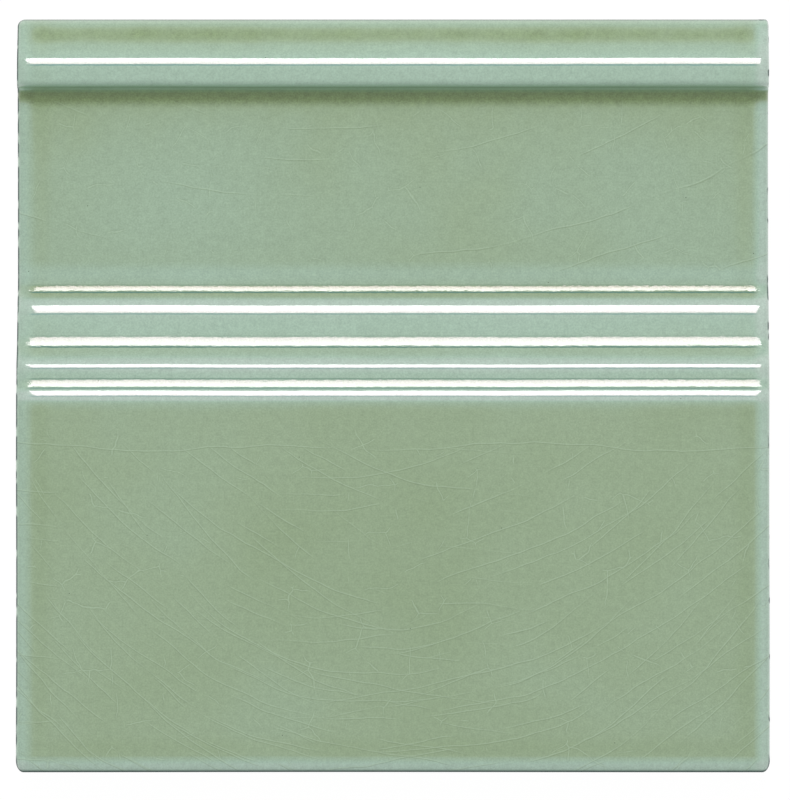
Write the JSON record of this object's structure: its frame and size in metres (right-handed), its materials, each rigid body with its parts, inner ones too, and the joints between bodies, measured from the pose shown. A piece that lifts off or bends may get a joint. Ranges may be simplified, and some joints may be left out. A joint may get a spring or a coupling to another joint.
{
  "type": "skirting tile",
  "caption": "Square glazed relief skirting tile with a capping roll along its top edge and a stepped, moulded plinth below a flat field.",
  "frame": {"origin": "centre of the back face, on the plane that the tile is bedded on", "axes": "+X along the wall, +Y up the wall towards the capping roll, +Z out of the wall"},
  "size_m": [0.15, 0.15, 0.0168],
  "materials": {
    "crackle_glaze": "translucent sage-green gloss crackle glaze over a pale body, thin on the edges and pooled in the hollows; bare biscuit on the back"
  },
  "bodies": {
    "root": {"skirting_tile": "crackle_glaze"}
  },
  "joints": []
}
